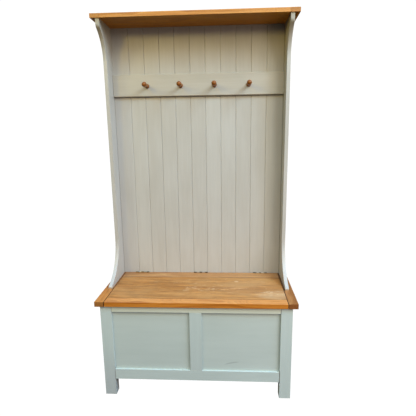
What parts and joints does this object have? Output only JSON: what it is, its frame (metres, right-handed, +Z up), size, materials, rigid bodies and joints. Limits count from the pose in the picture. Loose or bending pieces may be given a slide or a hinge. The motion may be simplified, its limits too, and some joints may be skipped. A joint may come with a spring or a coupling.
{
  "type": "settle bench",
  "caption": "Hall settle: a storage chest with a hinged oak seat lid, a tall boarded back between two curved wings, a rail of turned coat pegs and an oak top shelf.",
  "frame": {"origin": "floor level under the middle of the bench: the middle of the overall width and depth, at the feet", "axes": "+X to the right as seen from the front, +Y towards the wall, +Z up"},
  "size_m": [1.008, 0.43, 1.9],
  "materials": {
    "chest_paint": "sage grey-green eggshell paint on timber",
    "hutch_paint": "warm putty grey eggshell paint on timber",
    "peg_wood": "turned hardwood, stained mid brown and lacquered",
    "oak": "honey oak, satin lacquer",
    "oak_ends": "honey oak with the grain running front to back, satin lacquer",
    "oak_lid_panel": "oak worn dull on the seat",
    "bare_wood": "bare softwood",
    "plywood": "bare plywood",
    "zinc_steel": "bright zinc plate",
    "hinge_brass": "brassed steel, dulled"
  },
  "bodies": {
    "carcass": {"front_left_leg": "chest_paint", "front_right_leg": "chest_paint", "rear_left_leg": "chest_paint", "rear_right_leg": "chest_paint", "front_top_rail": "chest_paint", "front_bottom_rail": "chest_paint", "front_muntin": "chest_paint", "front_left_panel": "chest_paint", "front_right_panel": "chest_paint", "left_side_top_rail": "chest_paint", "left_side_bottom_rail": "chest_paint", "left_side_panel": "chest_paint", "right_side_top_rail": "chest_paint", "right_side_bottom_rail": "chest_paint", "right_side_panel": "chest_paint", "rear_top_rail": "chest_paint", "rear_bottom_rail": "chest_paint", "rear_panel": "plywood", "chest_floor": "plywood", "floor_bearers": "bare_wood", "seat_end_left": "oak_ends", "seat_end_right": "oak_ends", "seat_rear_rail": "oak", "left_wing": "hutch_paint", "right_wing": "hutch_paint", "back_board_01": "hutch_paint", "back_board_02": "hutch_paint", "back_board_03": "hutch_paint", "back_board_04": "hutch_paint", "back_board_05": "hutch_paint", "back_board_06": "hutch_paint", "back_board_07": "hutch_paint", "back_board_08": "hutch_paint", "back_board_09": "hutch_paint", "back_board_10": "hutch_paint", "back_board_11": "hutch_paint", "peg_rail": "hutch_paint", "coat_peg_1": "peg_wood", "coat_peg_2": "peg_wood", "coat_peg_3": "peg_wood", "coat_peg_4": "peg_wood", "shelf_board": "oak", "shelf_end_left": "oak_ends", "shelf_end_right": "oak_ends", "wing_dowels": "bare_wood", "shelf_dowels": "bare_wood", "joining_plates": "zinc_steel", "joining_plate_screws": "zinc_steel", "peg_rail_screws": "zinc_steel", "seat_end_screws": "zinc_steel", "hinge_fixed_leaves": "hinge_brass", "hinge_pins": "hinge_brass", "hinge_fixed_screws": "hinge_brass"},
    "lid": {"lid_panel": "oak_lid_panel", "lid_front_rail": "oak", "lid_rear_rail": "oak", "lid_battens": "bare_wood", "lid_batten_screws": "zinc_steel", "hinge_lid_leaves": "hinge_brass", "hinge_lid_screws": "hinge_brass"}
  },
  "joints": [
    {"name": "lid_hinge", "type": "hinge", "parent": "carcass", "child": "lid", "pos_m": [0, 0.193, 0.52], "axis": [-1, 0, 0], "range_deg": [0, 90]}
  ]
}
